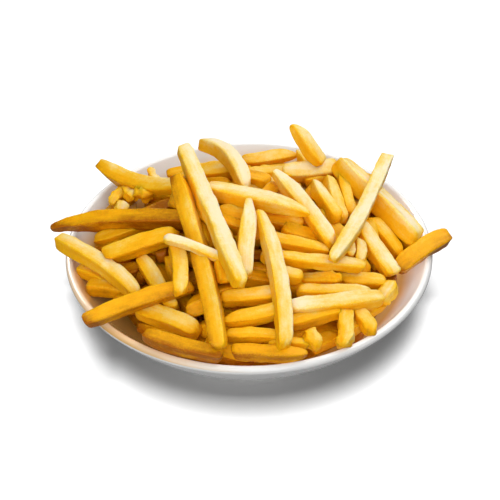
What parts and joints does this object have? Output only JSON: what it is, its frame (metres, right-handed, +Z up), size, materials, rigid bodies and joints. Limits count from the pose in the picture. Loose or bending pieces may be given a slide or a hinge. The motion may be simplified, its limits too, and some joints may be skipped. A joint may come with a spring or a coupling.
{
  "type": "french fries portion in a bowl",
  "caption": "Golden french fries heaped in a shallow round white bowl that stands on a plain foot ring.",
  "frame": {"origin": "centre of the whole portion on the table, under the middle of the bowl's foot ring", "axes": "+Z up out of the bowl, +X to the right along the heap's longest reach, -Y towards the side that is seen in front"},
  "size_m": [0.2043, 0.185, 0.0944],
  "materials": {
    "white_glaze": "gloss",
    "fried_potato": "satin"
  },
  "bodies": {
    "root": {"bowl": "white_glaze", "fries_heap": "fried_potato"}
  },
  "joints": []
}
